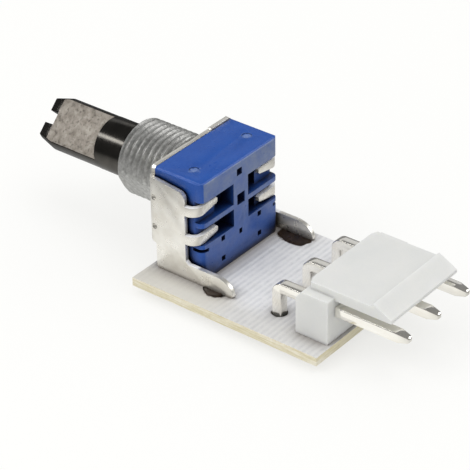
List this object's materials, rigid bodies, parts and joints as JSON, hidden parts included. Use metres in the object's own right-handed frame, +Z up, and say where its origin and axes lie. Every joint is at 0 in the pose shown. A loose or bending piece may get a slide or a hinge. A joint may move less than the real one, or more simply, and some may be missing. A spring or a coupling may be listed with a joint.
{
  "type": "rotary potentiometer",
  "caption": "Rotary potentiometer with a slotted D-cut metal shaft and threaded bush, in a blue case and tinned frame on a small board with a right-angle header.",
  "frame": {"origin": "on the shaft's axis, in the frame's front face, which meets the back of a panel", "axes": "+Y runs back from the panel to the header along the shaft's axis, +Z up from the board, the shaft points to -Y"},
  "size_m": [0.0183, 0.0518, 0.0137],
  "materials": {
    "board_laminate": "white printed face over a woven laminate, tan cut edges",
    "copper": "thin copper foil",
    "tinned_sheet": "dull tin plate",
    "bush_metal": "as cast, rolled thread",
    "shaft_metal": "turned and polished, milled flat",
    "spring_steel": "plain",
    "blue_plastic": "moulded, fine satin",
    "black_plastic": "moulded",
    "bronze": "spring bronze",
    "phenolic": "paper laminate",
    "carbon_film": "printed carbon",
    "silver_film": "printed silver",
    "terminal_metal": "tinned brass",
    "white_nylon": "moulded, slightly translucent",
    "pin_metal": "bright tinned brass",
    "solder": "smooth solder"
  },
  "bodies": {
    "housing": {"board": "board_laminate", "board_tracks": "copper", "frame": "tinned_sheet", "bush": "bush_metal", "case": "blue_plastic", "element_plate": "phenolic", "resistive_track": "carbon_film", "collector_track": "carbon_film", "silver_leads": "silver_film", "terminal_rivets": "bronze", "terminal_left": "terminal_metal", "terminal_centre": "terminal_metal", "terminal_right": "terminal_metal", "header_housing": "white_nylon", "header_pin_left": "pin_metal", "header_pin_centre": "pin_metal", "header_pin_right": "pin_metal", "terminal_solder": "solder", "header_solder": "solder", "frame_solder": "solder"},
    "spindle": {"shaft": "shaft_metal", "retaining_ring": "spring_steel", "rotor": "black_plastic", "wiper": "bronze"}
  },
  "joints": [
    {"name": "shaft_turn", "type": "hinge", "parent": "housing", "child": "spindle", "pos_m": [0, 0, 0], "axis": [0, 1, 0], "range_deg": [-195, 105]}
  ]
}
